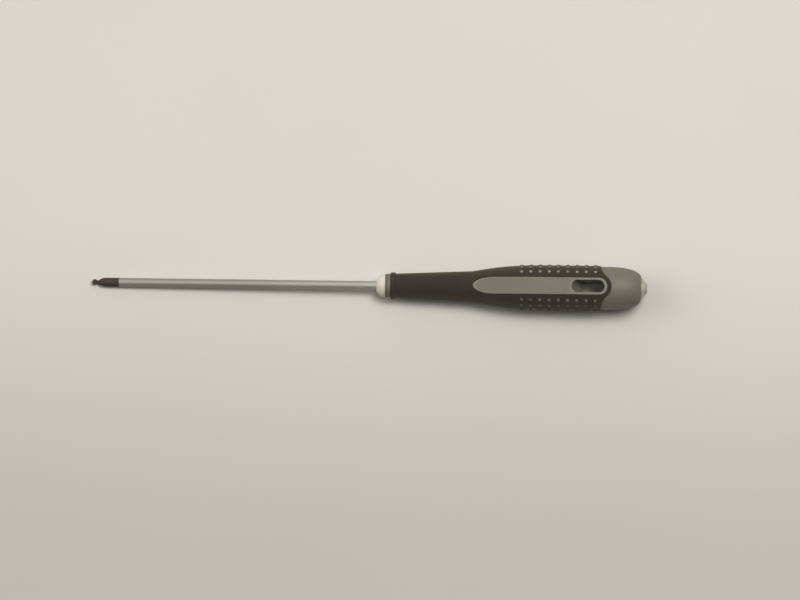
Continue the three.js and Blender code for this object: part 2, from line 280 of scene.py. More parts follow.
class HandleSizes(bpy.types.PropertyGroup):
    """Sizes of the handle's skin and walls"""

    nose_start: metres("Nose", CORE_REACH[0], "Front of the white nose")
    flange_start: metres("Flange", SHELL_REACH[0], "Front of the grey flange")
    rubber_start: metres("Rubber", GRIP_REACH[0], "Front of the rubber")
    dome_end: metres("Dome end", SHELL_REACH[1], "Back of the grey dome")
    cap_end: metres("Cap end", CORE_REACH[1], "Back of the white end")
    finger_length: length("Finger length", 32.85, "Slender front part of the grip")
    flare_length: length("Flare length", 30.0, "Where the grip swells to its barrel")
    barrel_length: length("Barrel length", 25.5, "Level barrel up to the dome")
    nose_lip: length("Nose lip", 0.4, "Flat lip of the nose round the bar")
    nose_radius: length("Nose radius", 4.4, "Radius at the back of the nose")
    flange_radius: length("Flange radius", 4.85, "Radius of the flange")
    groove_depth: length("Groove depth", 0.35, "Depth of the groove in the flange")
    groove_width: length("Groove width", 0.8, "Width of the groove in the flange")
    front_radius: length("Front radius", 4.75, "Radius at the front of the rubber")
    finger_radius: length("Finger radius", 6.2, "Radius where the flare starts")
    barrel_radius: length("Barrel radius", 8.9, "Radius of the rubber on the barrel")
    dome_radius: length("Dome radius", 8.5, "Radius of the dome where it starts")
    end_radius: length("End radius", 4.75, "Radius of the hole that the white end shows through")
    flare_slope: share("Flare slope", 0.19, "Slope at which the flare starts")
    rubber_front: length("Rubber at front", 0.8, "Wall of the rubber at its front")
    rubber_barrel: length("Rubber at barrel", 1.5, "Wall of the rubber on the barrel")
    shell_front: length("Shell at front", 0.9, "Wall of the shell at its front")
    shell_barrel: length("Shell at barrel", 2.0, "Wall of the shell on the barrel")
    bond: length("Bond", 0.1, "Gap that stands for the bond between two shots")
    bead_height: length("Bead height", 0.65, "Height of the bead at the rubber's front, over the skin")
    bead_back: length("Bead back", 0.43, "Height of the bead where its back starts to fall")
    bead_length: length("Bead length", 2.1, "Length of the bead along the axis")
    bead_round: length("Bead round", 0.2, "Rounding of the front of the bead")
    end_gap: length("End gap", 0.2, "Gap in the dome round the white end")
    cap_lip: length("End lip", 0.25, "Straight lip of the white end")
    cap_flat: length("End flat", 1.6, "Radius of the flat of the white end")
    cap_round: length("End round", 0.3, "Rounding of the edges of the white end")
    edge: length("Edge", 0.15, "Rounding of moulded edges")


class WindowSizes(bpy.types.PropertyGroup):
    """Sizes of the two windows, the hanging slot and the rubber's rear edge"""

    half_width: length("Half width", 3.5, "Half the width of the window")
    nose_length: length("Nose length", 8.8, "Length of the window's pointed front")
    drop: length("Drop", 0.15, "How far the land lies below the edge of the rubber")
    slot_length: length("Slot length", 13.0, "Length of the hanging slot")
    slot_width: length("Slot width", 4.8, "Width of the hanging slot")
    slot_to_end: length("Slot to end", 1.4, "From the slot to the window's round end")
    rim: length("Rim", 0.45, "Rounding of the slot's rim")
    ramp_run: length("Ramp run", 4.0, "Length of the ramp down into the slot")
    throat: length("Throat", 1.0, "Height of the straight throat between the two ramps")
    liner: length("Liner", 0.7, "Wall that lines the slot")
    rubber_behind: length("Rubber behind", 1.3, "Rubber behind the window's round end")
    rubber_to_dome: length("Rubber to dome", 0.3, "From the rubber's last point to the dome")
    side_setback: length("Side setback", 3.0, "How much further forward the rubber ends at the sides")
    swell_radius: length("Swell radius", 5.2, "Radius of the rubber's rear edge round the window's end")
    rear_fillet: length("Rear fillet", 7.0, "Fillet where the rubber's rear edge swells")


class PipSizes(bpy.types.PropertyGroup):
    """The grid of raised pips on both sides of the barrel"""

    columns: bpy.props.IntProperty(name="Columns", description="Pips along the barrel", default=9, min=1)
    rows: bpy.props.IntProperty(name="Rows", description="Rows on each side of the barrel", default=6, min=2)
    pitch: length("Pitch", 3.675, "From one column to the next")
    row_angle: angle("Row angle", 20.3, "From one row to the next, round the axis")
    setback: length("Setback", 2.0, "From the last column to the rubber's side edge")
    base: length("Base radius", 0.8, "Radius of a pip where it rises")
    top: length("Top radius", 0.5, "Radius of a pip's flat top")
    height: length("Height", 0.3, "Height of a pip")


class Finishes(bpy.types.PropertyGroup):
    """Colours of the four materials"""

    steel: colour("Steel", (0.41, 0.39, 0.354), "Satin chrome of the bar")
    # Painted highlight: the bar's colour turns to this towards the handle, where its reflection is brighter
    bright: colour("Steel highlight", (0.5, 0.478, 0.438), "Satin chrome with a painted highlight next to the handle")
    black: colour("Black", (0.053, 0.039, 0.029), "Blackened tip of the blade")
    white: colour("White", (0.67, 0.622, 0.53), "White plastic of the core")
    # Painted shade: the white end, which faces away from the light, is coloured darker
    end_shade: colour("End shade", (0.245, 0.225, 0.19), "Painted shade on the white end")
    grey: colour("Grey", (0.164, 0.15, 0.1185), "Grey plastic of the shell")
    rubber: colour("Rubber", (0.0278, 0.0194, 0.0105), "Black rubber of the grip")
    sheen: colour("Sheen", (1.0, 0.86, 0.64), "Tint of the rubber's sheen")
    # Painted highlight on the tops of the pips
    pip_highlight: colour("Pip highlight", (0.34, 0.315, 0.275), "Painted highlight on the tops of the pips")
    # Painted highlight on the lands' edges and the slot's rim, and painted light on the slot's walls
    shell_light: colour("Shell light", (0.3, 0.28, 0.235), "Painted highlight on the grey shell's edges and painted light on its slot walls")
    # Darker tone near the joint round the white end
    joint_dark: colour("Joint dark", (0.045, 0.04, 0.033), "Darker tone round the joint of the white end")


class StageSettings(bpy.types.PropertyGroup):
    """Floor, light and camera"""

    floor: colour("Floor", (0.7, 0.66, 0.612), "Pale floor on the +Y side")
    # Painted shade: the floor's deeper tone on the -Y side
    floor_shaded: colour("Shaded floor", (0.56, 0.518, 0.475), "Floor with painted shade on the -Y side")
    floor_size: metres("Floor size", 8.0, "Side of the square floor")
    sky_back: colour("Sky behind", (0.42, 0.41, 0.4), "Sky on the +Y side, high up")
    sky_front: colour("Sky in front", (0.04, 0.039, 0.038), "Sky on the -Y side, high up")
    key_power: power("Key light", 14.2, "Power of the soft lamp above the end of the handle")
    key_size: metres("Key size", 0.6, "Side of the soft lamp above the end of the handle")
    key_place: point("Key place", (0.42, 0.38, 1.39), "Middle of the soft lamp above the end of the handle")
    fill_power: power("Fill light", 13.7, "Power of the wide lamp beyond the tip")
    fill_size: metres("Fill size", 1.3, "Side of the wide lamp beyond the tip")
    fill_place: point("Fill place", (-1.6, 0.35, 1.3), "Middle of the wide lamp beyond the tip")
    azimuth: angle("Azimuth", 0.9282, "Turn of the camera about the upright")
    elevation: angle("Elevation", 84.3, "Height of the camera above the horizon")
    distance: metres("Distance", 2.0, "From the camera to its aim")
    view_width: metres("View width", 0.31931, "Width of the picture at the aim")
    aim: point("Aim", (0.012427, -0.005913, 0.008), "Point in the middle of the picture")


class ScrewdriverSettings(bpy.types.PropertyGroup):
    """All that can be changed on the screwdriver and its stage"""

    blade: settings("Blade", BladeSizes, "Sizes of the steel blade")
    handle: settings("Handle", HandleSizes, "Sizes of the handle's skin and walls")
    window: settings("Window", WindowSizes, "Sizes of the windows, the slot and the rubber's rear edge")
    pips: settings("Pips", PipSizes, "Grid of raised pips")
    finishes: settings("Finishes", Finishes, "Colours of the materials")
    stage: settings("Stage", StageSettings, "Floor, light and camera")


def places_along(tool):
    """Stations that several pieces share, each worked out from the one in front of it."""
    handle, window = tool.handle, tool.window
    at = SimpleNamespace()
    at.rubber = handle.rubber_start - handle.bond
    at.finger_end = at.rubber + handle.finger_length
    at.barrel = at.finger_end + handle.flare_length
    at.dome = at.barrel + handle.barrel_length
    at.window_nose = at.finger_end + window.nose_length
    at.window_end = at.dome - window.rubber_to_dome - window.rubber_behind
    at.window_arc = at.window_end - window.half_width
    at.slot_end = at.window_end - window.slot_to_end
    at.slot = at.slot_end - window.slot_length
    at.side = at.window_end - window.side_setback
    at.last_pip = at.side - tool.pips.setback
    return at


def bezier(start, first, second, finish, steps=CURVE_STEPS):
    """Points on a cubic curve: the four points weighted by (1-t)^3, 3(1-t)^2 t, 3(1-t)t^2 and t^3."""
    t = np.linspace(0, 1, steps + 1)[:, None]
    weights = ((1 - t) ** 3, 3 * (1 - t) ** 2 * t, 3 * (1 - t) * t**2, t**3)
    return sum(w * np.array(p) for w, p in zip(weights, (start, first, second, finish)))


def in_box(corner, size, shares):
    """Points that lie at shares of a box, given by its corner and its size."""
    return np.array(corner) + np.array(size) * np.array(shares)


def pairs(first, second):
    """Two rows of numbers as pairs: station and radius, or the two coordinates of a plan."""
    return np.stack([first, second], axis=-1)


def rising(count):
    """Even shares above 0 and up to 1."""
    return np.linspace(0, 1, count + 1)[1:]


def inner(start, finish, count):
    """Even places between two others, without these."""
    return np.linspace(start, finish, count + 2)[1:-1]


def rounded(start, corner, finish, steps=2 * ROUND_STEPS):
    """Points on a quadratic curve: the three points weighted by (1-t)^2, 2(1-t)t and t^2."""
    t = np.linspace(0, 1, steps + 1)[:, None]
    return (1 - t) ** 2 * start + 2 * (1 - t) * t * corner + t**2 * finish


def quarter():
    """Sine and 1 - cosine over a quarter turn: how a rounded edge runs on and how far it has dropped."""
    turn = np.linspace(0, np.pi / 2, ROUND_STEPS + 1)
    return np.sin(turn), 1 - np.cos(turn)


def skin_radius(tool, x, inset_front=0.0, inset_barrel=0.0):
    """Radius of the handle at stations x, less an inset that grows from the front to the barrel: a
    straight taper, a cubic flare that starts at a slope and ends level, and a straight barrel."""
    handle, at = tool.handle, places_along(tool)
    front = handle.front_radius - inset_front
    finger = handle.finger_radius - (inset_front + inset_barrel) / 2
    barrel = handle.barrel_radius - inset_barrel
    run = FLARE_PULL * handle.flare_length
    flare = bezier(
        (at.finger_end, finger),
        (at.finger_end + run, finger + run * handle.flare_slope),
        (at.barrel - run, barrel),
        (at.barrel, barrel),
        steps=FLARE_STEPS,
    )
    stations = np.concatenate([[at.rubber], flare[:, 0]])
    radii = np.concatenate([[front], flare[:, 1]])
    return np.interp(x, stations, radii)


def rubber_floor(tool, x, gap=0.0):
    """Radius of the underside of the rubber at stations x, less a gap."""
    handle = tool.handle
    return skin_radius(tool, x, handle.rubber_front + gap, handle.rubber_barrel + gap)


def core_radius(tool, x, grow=0.0):
    """Radius of the hidden body of the core: straight lines between five stations, grown by an offset."""
    handle, at = tool.handle, places_along(tool)
    front = handle.front_radius - handle.rubber_front - handle.shell_front - handle.bond
    barrel = handle.barrel_radius - handle.rubber_barrel - handle.shell_barrel - handle.bond
    thin = at.dome + CORE_TAPER * (handle.dome_end - at.dome)
    stations = [at.rubber, at.finger_end, at.barrel, at.dome, thin]
    radii = [front, (2 * front + barrel) / 3, barrel, barrel, handle.end_radius - handle.end_gap]
    return np.interp(x, stations, radii) + grow


def land_height(tool, x):
    """Height of the window's flat land: the skin's height at the window's edge, less a small drop."""
    window, at = tool.window, places_along(tool)
    forward = np.clip((at.window_nose - x) / window.nose_length, 0, 1)
    half = window.half_width * np.sqrt(1 - forward**2)
    return np.sqrt(skin_radius(tool, x) ** 2 - half**2) - window.drop


def rear_edge_sizes(tool, offset):
    """Centres and radii of the rear edge's arc and fillet. They touch on the line between the centres."""
    window, at = tool.window, places_along(tool)
    edge = SimpleNamespace()
    edge.arc = at.window_end + window.rubber_behind - window.swell_radius
    edge.side = at.side + offset
    edge.swell = window.swell_radius + offset
    edge.fillet = window.rear_fillet - offset
    edge.fillet_x = edge.side + edge.fillet
    edge.fillet_y = np.sqrt((edge.swell + edge.fillet) ** 2 - (edge.fillet_x - edge.arc) ** 2)
    edge.turn = np.arctan2(edge.fillet_y, edge.fillet_x - edge.arc)
    return edge


def rear_edge(tool, y, offset=0.0):
    """Station of the rubber's rear edge at a distance y from the middle plane: an arc about the window's
    end, a fillet, and a straight line across the sides. The offset moves the edge backwards."""
    edge = rear_edge_sizes(tool, offset)
    y = np.abs(y)
    arc = edge.arc + np.sqrt(np.clip(edge.swell**2 - y**2, 0, None))
    fillet = edge.fillet_x - np.sqrt(np.clip(edge.fillet**2 - (edge.fillet_y - y) ** 2, 0, None))
    return np.where(y < edge.swell * np.sin(edge.turn), arc, np.where(y < edge.fillet_y, fillet, edge.side))


def full_turn(count):
    """Angles round the axis, with the first one again at the end to close the ring."""
    return np.linspace(0, 2 * np.pi, count + 1)


def turned(x, radius, around):
    """Points at station x and a radius, turned from the upper window towards the side."""
    return np.stack(np.broadcast_arrays(x, radius * np.sin(around), radius * np.cos(around)), axis=-1)


def revolved(profile, around):
    """Rings of a profile, given as pairs of station and radius, turned round the axis."""
    return turned(profile[:, :1], profile[:, 1:], around)


def quads(rows, columns):
    """Corner numbers of the quads between neighbouring rows and columns of a grid."""
    corner = np.arange(rows * columns).reshape(rows, columns)
    corners = (corner[:-1, :-1], corner[1:, :-1], corner[1:, 1:], corner[:-1, 1:])
    return np.stack(corners, axis=-1).reshape(-1, 4)


def mesh_of(name, grids):
    """One mesh from grids of points in tool space: doubles are welded at seams and poles, and the closed
    skin is turned to face outwards."""
    faces, points, used = [], [], 0
    for grid in grids:
        rows, columns = grid.shape[:2]
        faces.append(quads(rows, columns) + used)
        points.append(grid.reshape(-1, 3))
        used += rows * columns
    corners = np.concatenate(faces).astype(np.int32)
    places = to_row(np.concatenate(points)).astype(np.float32)
    mesh = bpy.data.meshes.new(name)
    mesh.vertices.add(len(places))
    mesh.vertices.foreach_set("co", places.ravel())
    mesh.loops.add(corners.size)
    mesh.loops.foreach_set("vertex_index", corners.ravel())
    mesh.polygons.add(len(corners))
    mesh.polygons.foreach_set("loop_start", np.arange(0, corners.size, 4, dtype=np.int32))
    mesh.update(calc_edges=True)
    shape = bmesh.new()
    shape.from_mesh(mesh)
    bmesh.ops.remove_doubles(shape, verts=shape.verts, dist=WELD)
    bmesh.ops.recalc_face_normals(shape, faces=shape.faces)
    shape.to_mesh(mesh)
    shape.free()
    return mesh


def put_in_scene(item):
    """Links an object to the scene."""
    bpy.context.scene.collection.objects.link(item)


def boolean(first, second, operation):
    """The exact union or difference of two closed meshes, as a new mesh in place of both."""
    target = bpy.data.objects.new("target", first)
    cutter = bpy.data.objects.new("cutter", second)
    for helper in (target, cutter):
        put_in_scene(helper)
    step = target.modifiers.new("combine", "BOOLEAN")
    step.operation = operation
    step.solver = "EXACT"
    step.object = cutter
    evaluated = target.evaluated_get(bpy.context.evaluated_depsgraph_get())
    result = bpy.data.meshes.new_from_object(evaluated)
    result.name = first.name
    for helper in (target, cutter):
        bpy.data.objects.remove(helper)
    for used in (first, second):
        bpy.data.meshes.remove(used)
    return result


def add_piece(name, mesh, material, stands_for, sharp=32):
    """A finished mesh as a piece that rides on the tool and stands for a CAD node."""
    mesh.shade_smooth()
    mesh.set_sharp_from_angle(angle=np.radians(sharp))
    mesh.materials.clear()
    mesh.materials.append(material)
    piece = bpy.data.objects.new(name, mesh)
    put_in_scene(piece)
    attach(piece, BODY)
    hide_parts(stands_for)


def bar_section(tool, x, around, grow=0.0):
    """Radius of the bar and its wings: the larger of a circle and of a rectangle, whose side lies at
    half its width over the sine of the angle and half its thickness over the cosine."""
    blade = tool.blade
    wing_end = blade.tang_end - blade.wing_setback + grow
    wing_start = wing_end - blade.wing_length - 2 * grow
    inside = np.minimum(x - wing_start, wing_end - x)
    half_span = (blade.wing_span / 2 + grow) * np.clip(inside / blade.wing_slope, 0, 1)
    half_thick = blade.wing_thickness / 2 + grow
    across = half_span / np.maximum(np.abs(np.sin(around)), LEAST_SINE)
    through = half_thick / np.maximum(np.abs(np.cos(around)), LEAST_SINE)
    return np.maximum(blade.bar / 2 + grow, np.minimum(across, through))


def blade_grid(tool):
    """Rings of the blade from tip to tang. The ball is a sphere's profile in which a ring of radius p is
    the hexagon p cos 30 / cos(angle from the nearest flat); the shoulder is a quadratic curve."""
    blade = tool.blade
    around = full_turn(AROUND_BLADE)
    flat, neck, bar = blade.tip_flat / 2, blade.neck / 2, blade.bar / 2
    ball = blade.across_flats / np.sqrt(3)
    ball_x = np.sqrt(ball**2 - flat**2)
    front, back = np.arctan2(flat, -ball_x), np.arcsin(neck / ball)
    turn = np.linspace(front, back, CURVE_STEPS + 1)
    ball_rings = pairs(ball_x + ball * np.cos(turn), ball * np.sin(turn))
    shoulder_x = ball_rings[-1, 0] + blade.neck_length
    bar_x = shoulder_x + blade.shoulder_length
    swell = in_box((shoulder_x, neck), (blade.shoulder_length, bar - neck), SHOULDER_CURVE)
    shoulder = rounded(*swell, steps=CURVE_STEPS)
    flat_from = np.abs((around + np.pi / 6) % (np.pi / 3) - np.pi / 6)
    hexagon = np.cos(np.pi / 6) / np.cos(flat_from)
    tip = turned(0.0, 0.0 * around, around)[None]
    ball_grid = turned(ball_rings[:, :1], ball_rings[:, 1:] * hexagon, around)
    shoulder_grid = revolved(shoulder, around)
    tang_x = np.linspace(bar_x, blade.tang_end - blade.chamfer, TANG_RINGS)[1:, None]
    tang_grid = turned(tang_x, bar_section(tool, tang_x, around), around)
    end_grid = turned(blade.tang_end, np.array([[bar - blade.chamfer], [0.0]]), around)
    return np.concatenate([tip, ball_grid, shoulder_grid, tang_grid, end_grid])


def core_grid(tool):
    """Rings of the core: up the bore round the tang, over the nose, along the hidden body, and over the
    white end, a lip, a cone and a flat with its two edges rounded."""
    handle, blade, at = tool.handle, tool.blade, places_along(tool)
    around = full_turn(AROUND_BLADE)
    bore_x = np.linspace(blade.tang_end + handle.bond, handle.nose_start, BORE_RINGS)[:, None]
    bore = turned(bore_x, bar_section(tool, bore_x, around, handle.bond), around)
    lip = blade.bar / 2 + handle.nose_lip
    nose_size = (handle.flange_start - handle.nose_start, handle.nose_radius - lip)
    nose = bezier(*in_box((handle.nose_start, lip), nose_size, NOSE_CURVE))
    nose_end = handle.flange_start - handle.bond
    collar = np.array([(nose_end, handle.nose_radius), (nose_end, core_radius(tool, nose_end))])
    body_x = np.linspace(at.rubber, handle.dome_end, BODY_RINGS)
    body = pairs(body_x, core_radius(tool, body_x))
    end = core_radius(tool, handle.dome_end)
    lip_end = np.array((handle.dome_end + handle.cap_lip, end))
    flat_edge = np.array((handle.cap_end, handle.cap_flat))
    cone = (flat_edge - lip_end) * handle.cap_round / (flat_edge[0] - lip_end[0])
    lip_edge = rounded(lip_end - (handle.cap_lip, 0), lip_end, lip_end + cone)
    end_edge = rounded(flat_edge - cone, flat_edge, flat_edge - (0, handle.cap_round))
    outline = np.concatenate([nose, collar, body[:-1], lip_edge, end_edge, [(handle.cap_end, 0.0)]])
    floor = turned(blade.tang_end + handle.bond, 0.0 * around, around)[None]
    return np.concatenate([floor, bore, revolved(outline, around)])


def plan_ring(front_x, front_run, rear_x, half):
    """Closed plan outline: a half circle about rear_x, a straight side, a half ellipse about front_x and
    the other side."""
    rear = np.radians(np.linspace(-90, 90, ARC_STEPS + 1))
    front = np.radians(np.linspace(90, 270, ARC_STEPS + 1))
    side_x = rear_x + (front_x - rear_x) * inner(0, 1, SIDE_LINES)
    x = [rear_x + half * np.cos(rear), side_x, front_x + front_run * np.cos(front), side_x[::-1], [rear_x]]
    y = [half * np.sin(rear), half + 0 * side_x, half * np.sin(front), 0 * side_x - half, [-half]]
    return pairs(np.concatenate(x), np.concatenate(y))


def slot_ring(start, finish, half):
    """Plan outline of a slot with round ends between two stations."""
    return plan_ring(start + half, half, finish - half, half)


def window_ring(tool, offset):
    """Plan outline of the window, grown by an offset."""
    window, at = tool.window, places_along(tool)
    return plan_ring(
        at.window_nose, window.nose_length + offset, at.window_arc, window.half_width + offset
    )


def lifted(ring, z):
    """A plan outline at height z."""
    return np.concatenate([ring, np.broadcast_to(np.reshape(z, (-1, 1)), (len(ring), 1))], axis=1)


def slot_room(tool, grow):
    """A closed prism with the slot's outline, grown by an offset, that stands out of the handle both ways."""
    window, at = tool.window, places_along(tool)
    start, finish = at.slot - grow, at.slot_end + grow
    ring = slot_ring(start, finish, window.slot_width / 2 + grow)
    middle = np.broadcast_to(((start + finish) / 2, 0), ring.shape)
    lower = [lifted(middle, -ROOM_HEIGHT), lifted(ring, -ROOM_HEIGHT)]
    upper = [lifted(ring, ROOM_HEIGHT), lifted(middle, ROOM_HEIGHT)]
    return mesh_of("room", [np.stack(lower + upper)])


def ramp_starts(tool, depth):
    """Front station of the slot at a depth, from 0 at its rim to 1 at its throat: a quadratic curve that
    falls steeply from the land and runs out towards the throat."""
    run, fall = rounded(*np.array(RAMP_CURVE), steps=CURVE_STEPS).T
    return places_along(tool).slot + tool.window.ramp_run * np.interp(depth, fall, run)


def land_grid(tool):
    """The windows' lands and the wall of the slot as one closed ring round the slot. Going outwards, a
    row climbs the slot's wall, rounds its rim, crosses the land on straight lines to the window's
    outline, rounds its edge, goes down inside the shell and returns along the back of the wall. The
    lower half mirrors the upper one."""
    handle, window, at = tool.handle, tool.window, places_along(tool)
    half = window.slot_width / 2
    top = float(land_height(tool, at.slot)) - window.rim
    foot = window.throat / 2
    rows = [lifted(slot_ring(at.slot + window.ramp_run, at.slot_end, half), 0.0)]
    for depth in np.linspace(1, 0, WALL_ROWS) ** WALL_CROWDING:
        ring = slot_ring(ramp_starts(tool, depth), at.slot_end, half)
        rows.append(lifted(ring, top + (foot - top) * depth))
    runs, drops = quarter()
    for run, drop in zip(runs[1:], drops[1:]):
        out = window.rim * drop
        rows.append(lifted(slot_ring(at.slot - out, at.slot_end + out, half + out), top + window.rim * run))
    rim = rows[-1][:, :2]
    edge = window_ring(tool, -handle.bond - handle.edge)
    for t in rising(LAND_ROWS):
        ring = rim + (edge - rim) * t
        rows.append(lifted(ring, land_height(tool, ring[:, 0])))
    for run, drop in zip(runs[1:], drops[1:]):
        ring = window_ring(tool, -handle.bond - handle.edge * (1 - run))
        rows.append(lifted(ring, land_height(tool, ring[:, 0]) - handle.edge * drop))
    outline = window_ring(tool, -handle.bond)
    back = slot_ring(at.slot - window.liner, at.slot_end + window.liner, half + window.liner)
    for t in np.linspace(0, 1, BACK_ROWS):
        ring = outline + (back - outline) * t
        rows.append(lifted(ring, core_radius(tool, ring[:, 0], LAND_BACK * handle.bond)))
    rows.append(lifted(back, 0.0))
    upper = np.stack(rows)
    return [upper, upper * (1, 1, -1)]


def shell_grid(tool):
    """Rings of the turned shell: flange with its groove, the floor under the rubber, the step up at the
    rubber's curved rear edge, the dome on a cubic curve, and the bore for the core. A ring's station may
    change round the axis, to follow the rear edge."""
    handle, at = tool.handle, places_along(tool)
    around = full_turn(AROUND_HANDLE)
    runs, drops = quarter()
    flange, edge = handle.flange_radius, handle.edge
    front = pairs(handle.flange_start + edge * drops, flange - edge + edge * runs)
    groove_x = handle.flange_start + (at.rubber - handle.flange_start) / 3
    across = np.linspace(-1, 1, GROOVE_STEPS + 1)
    groove_radius = flange - handle.groove_depth * np.cos(across * np.pi / 2) ** 2
    groove = pairs(groove_x + across * handle.groove_width / 2, groove_radius)
    back = pairs(at.rubber - edge * (1 - runs), flange - edge * drops)
    floor = rubber_floor(tool, at.rubber, handle.bond)
    collar = np.concatenate([front, groove, back, [(at.rubber, floor)]])
    rings = [revolved(collar, around)]

    low = float(rubber_floor(tool, at.dome, handle.bond))
    high = handle.dome_radius
    finish = rear_edge(tool, low * np.sin(around))
    under_x = at.rubber + (finish - at.rubber) * rising(FLOOR_RINGS)[:, None]
    rings.append(turned(under_x, rubber_floor(tool, under_x, handle.bond), around))
    step = np.linspace(low, high - edge, STEP_RINGS + 1)[1:, None]
    rings.append(turned(rear_edge(tool, step * np.sin(around)), step, around))
    rounding = (high - edge + edge * runs[1:])[:, None]
    lip_x = rear_edge(tool, high * np.sin(around)) + edge * drops[1:, None]
    rings.append(turned(lip_x, rounding, around))
    level = lip_x[-1] + (at.dome - lip_x[-1]) * rising(LEVEL_RINGS)[:, None]
    rings.append(turned(level, high, around))

    dome_size = (handle.dome_end - at.dome, high - handle.end_radius)
    dome = bezier(*in_box((at.dome, handle.end_radius), dome_size, DOME_CURVE))[1:]
    rings.append(revolved(dome, around))
    bore_x = np.linspace(handle.dome_end, at.rubber, BODY_RINGS)[1:]
    bore = pairs(bore_x, core_radius(tool, bore_x, handle.bond))
    closing = [(handle.flange_start, bore[-1, 1]), front[0]]
    rings.append(revolved(np.concatenate([bore, closing]), around))
    return np.concatenate(rings)


def spread_lines(centres, half, others):
    """Grid lines that hold every pip: a few across each one, even ones in the gaps between, and others."""
    middles = np.sort(centres)
    starts, gaps = middles[:-1] + half, np.diff(middles) - 2 * half
    lines = [middles[:, None] + half * np.array(PIP_LINES), others]
    lines += [starts + gaps * part for part in inner(0, 1, GAP_LINES)]
    return np.unique(np.concatenate([np.ravel(line) for line in lines]))


def pip_rows(tool):
    """Angles of the pip rows in the quarter between the upper window and the side."""
    pips = tool.pips
    row = np.arange(pips.rows) - (pips.rows - 1) / 2
    angles = np.pi / 2 + row * pips.row_angle
    return angles[angles < np.pi / 2]


def pip_columns(tool):
    """Stations of the pip columns."""
    return places_along(tool).last_pip - np.arange(tool.pips.columns) * tool.pips.pitch


def pip_rise(tool, x, around, radius):
    """Height of the pips at stations x and angles: full within a pip's flat top, falling on a smooth
    step 3u^2 - 2u^3 to nothing at its base."""
    pips = tool.pips
    to_column = np.abs(x[..., None] - pip_columns(tool)).min(axis=-1)
    to_row_angle = np.abs(around[..., None] - pip_rows(tool)).min(axis=-1)
    away = np.hypot(to_column, radius * to_row_angle)
    u = np.clip((pips.base - away) / (pips.base - pips.top), 0, 1)
    return pips.height * u**2 * (3 - 2 * u)


def bead_rise(tool, x):
    """Height of the rolled bead over the skin: a quarter round up, a top that sinks on a straight line to
    its back, and a cosine down."""
    handle = tool.handle
    along = (x - handle.rubber_start) / handle.bead_length
    u = np.clip(1 - along * handle.bead_length / handle.bead_round, 0, 1)
    front = handle.bead_round * (1 - np.sqrt(1 - u**2))
    top = np.interp(along, [0, BEAD_BACK], [handle.bead_height, handle.bead_back])
    fall = np.clip((along - BEAD_BACK) / (1 - BEAD_BACK), 0, 1)
    return (top - front) * 0.5 * (1 + np.cos(np.pi * fall))


def window_side(tool, offset):
    """The rubber's window edge in one quarter, in plan, grown by an offset: a quarter ellipse from the
    middle plane, then the straight side up to the window's round end."""
    window, at = tool.window, places_along(tool)
    turn = np.linspace(0, np.pi / 2, ARC_STEPS // 2 + 1)
    half = window.half_width + offset
    first = pip_columns(tool).min() - tool.pips.base
    flare = inner(at.window_nose, first, FLARE_LINES)
    rest = spread_lines(pip_columns(tool), tool.pips.base, [at.window_arc])
    straight = np.concatenate([flare, rest])
    x = np.concatenate([at.window_nose - (window.nose_length + offset) * np.cos(turn), straight])
    y = np.concatenate([half * np.sin(turn), half + 0 * straight])
    return x, y


def rear_rays():
    """Angles at which rays leave the window's round end: a few to the side of the rubber, the rest to its
    rear edge."""
    to_side = np.linspace(90, CORNER_RAY, SIDE_RAYS + 1)[:-1]
    return np.radians(np.concatenate([to_side, np.linspace(CORNER_RAY, 0, REAR_RAYS + 1)]))


def window_round(tool, offset):
    """The window's round end in one quarter, in plan, grown by an offset, at the rays of rear_rays()."""
    half = tool.window.half_width + offset
    turn = rear_rays()
    return places_along(tool).window_arc + half * np.cos(turn), half * np.sin(turn)


def rear_outline(tool, offset, radius):
    """The rubber's rear edge in one quarter, in plan, from the side to the middle plane, where the
    rubber has a radius: one point for each ray, at even angles round the handle."""
    y = radius * np.sin(np.linspace(np.pi / 2, 0, REAR_RAYS + 1))
    return rear_edge(tool, y, offset), y


def on_handle(x, y, radius):
    """Points of the plan set on a turned surface of a radius."""
    height = np.sqrt(np.clip(radius**2 - y**2, 0, None))
    return np.stack(np.broadcast_arrays(x, y, height), axis=-1)


